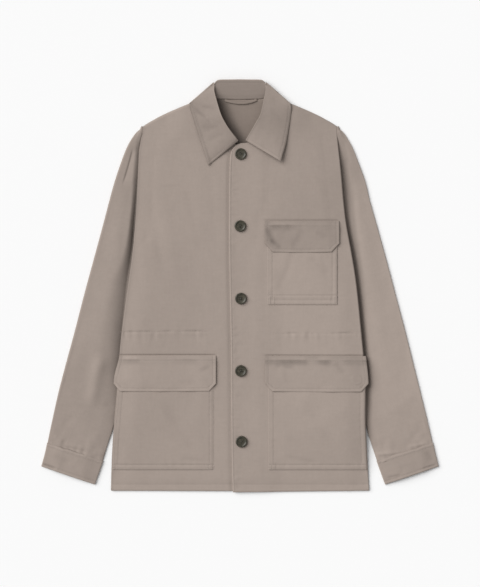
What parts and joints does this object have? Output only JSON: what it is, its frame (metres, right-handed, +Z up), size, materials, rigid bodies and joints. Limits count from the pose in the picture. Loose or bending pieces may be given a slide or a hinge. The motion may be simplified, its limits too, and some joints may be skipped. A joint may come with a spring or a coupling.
{
  "type": "field jacket",
  "caption": "Cotton field jacket laid flat and buttoned, with a turned-down collar, flapped chest and hip patch pockets and long cuffed sleeves.",
  "frame": {"origin": "centre of the jacket's outline, on the surface it lies on", "axes": "+Z up through the layers, +Y from the hem to the collar, +X to the viewer's right, which is the wearer's left"},
  "size_m": [0.7942, 0.8255, 0.0169],
  "materials": {
    "cotton_twill": "matte",
    "cotton_inside": "matte",
    "button_resin": "satin"
  },
  "bodies": {
    "root": {"back": "cotton_inside", "front_right": "cotton_twill", "front_left": "cotton_twill", "sleeve_left": "cotton_twill", "sleeve_right": "cotton_twill", "cuff_left": "cotton_twill", "cuff_right": "cotton_twill", "collar": "cotton_twill", "chest_pocket": "cotton_twill", "chest_flap": "cotton_twill", "hip_pocket_right": "cotton_twill", "hip_flap_right": "cotton_twill", "hip_pocket_left": "cotton_twill", "hip_flap_left": "cotton_twill", "button_1": "button_resin", "button_2": "button_resin", "button_3": "button_resin", "button_4": "button_resin", "button_5": "button_resin", "hanger_loop": "cotton_twill"}
  },
  "joints": []
}
